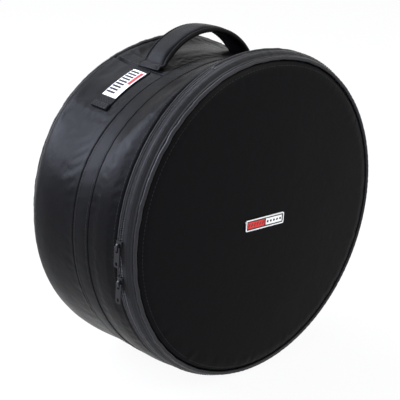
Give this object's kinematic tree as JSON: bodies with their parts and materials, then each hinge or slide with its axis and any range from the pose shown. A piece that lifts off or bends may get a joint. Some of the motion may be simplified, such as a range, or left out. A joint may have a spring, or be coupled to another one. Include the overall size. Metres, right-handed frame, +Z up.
{
  "type": "drum bag",
  "caption": "Round padded bag for a snare drum, standing on its rim, with a zipped lid hinged at the top, a carry handle over the wall, piped rims and a small moulded patch.",
  "frame": {"origin": "on the floor, under the middle of the bag", "axes": "+Z up; Y along the bag's axis with the lid towards -Y; +X to the right of someone who faces the lid"},
  "size_m": [0.4028, 0.2, 0.4045],
  "materials": {
    "shell_cloth": "coated woven nylon, satin",
    "handle_panel_cloth": "coated woven nylon, satin",
    "padding": "closed-cell foam sheet",
    "lining_cloth": "brushed tricot",
    "seam_band_tape": "woven band with a fine twill",
    "piping": "coated, smooth",
    "edge_cloth": "coated woven nylon, satin",
    "binding_tape": "woven tape",
    "zip_tape": "woven tape",
    "zip_coil": "moulded, smooth",
    "zip_metal": "black, glossy",
    "pull_metal": "grey, glossy",
    "webbing": "woven webbing",
    "handle_cloth": "coated woven nylon, satin",
    "tag_cloth": "woven",
    "label": "moulded, matt"
  },
  "bodies": {
    "case": {"back_panel": "shell_cloth", "back_foam": "padding", "back_lining": "lining_cloth", "back_piping": "piping", "rear_wall": "shell_cloth", "handle_panel": "handle_panel_cloth", "front_wall": "shell_cloth", "seam_band": "seam_band_tape", "front_wall_foam": "padding", "rear_wall_foam": "padding", "wall_lining": "lining_cloth", "zip_welt": "edge_cloth", "body_zip_tape": "zip_tape", "body_zip_coil": "zip_coil", "zip_stops": "zip_metal", "mouth_binding": "binding_tape", "back_binding": "binding_tape", "hinge_strip": "edge_cloth", "side_tag": "tag_cloth", "tag_end": "webbing", "left_handle_end": "handle_cloth", "right_handle_end": "handle_cloth"},
    "lid": {"lid_panel": "shell_cloth", "lid_foam": "padding", "lid_lining": "lining_cloth", "lid_piping": "piping", "lid_gusset": "edge_cloth", "lid_binding": "binding_tape", "lid_zip_tape": "zip_tape", "lid_zip_coil": "zip_coil", "lid_zip_stops": "zip_metal", "front_label": "label"},
    "handle": {"handle_sleeve": "handle_cloth", "handle_webbing": "webbing"},
    "upper_slider": {"upper_slider": "zip_metal"},
    "upper_pull": {"upper_pull": "pull_metal"},
    "lower_slider": {"lower_slider": "zip_metal"},
    "lower_pull": {"lower_pull": "pull_metal"}
  },
  "joints": [
    {"name": "lid_hinge", "type": "hinge", "parent": "case", "child": "lid", "pos_m": [0, -0.076, 0.3942], "axis": [-1, 0, 0], "range_deg": [0, 165]},
    {"name": "handle_lean", "type": "hinge", "parent": "case", "child": "handle", "pos_m": [0, 0.031, 0.36895], "axis": [1, 0, 0], "range_deg": [-16, 20], "stiffness_Nm_per_rad": 0.6},
    {"name": "upper_slider_travel", "type": "hinge", "parent": "case", "child": "upper_slider", "pos_m": [0, -0.076, 0.197], "axis": [0, 1, 0], "range_deg": [0, 61.5]},
    {"name": "lower_slider_travel", "type": "hinge", "parent": "case", "child": "lower_slider", "pos_m": [0, -0.076, 0.197], "axis": [0, 1, 0], "range_deg": [-230, 0]},
    {"name": "upper_pull_swing", "type": "hinge", "parent": "upper_slider", "child": "upper_pull", "pos_m": [-0.20024, -0.076, 0.19875], "axis": [0, 1, 0], "range_deg": [0, 150]},
    {"name": "lower_pull_swing", "type": "hinge", "parent": "lower_slider", "child": "lower_pull", "pos_m": [-0.19623, -0.076, 0.15708], "axis": [0, 1, 0], "range_deg": [-11, 140]}
  ]
}
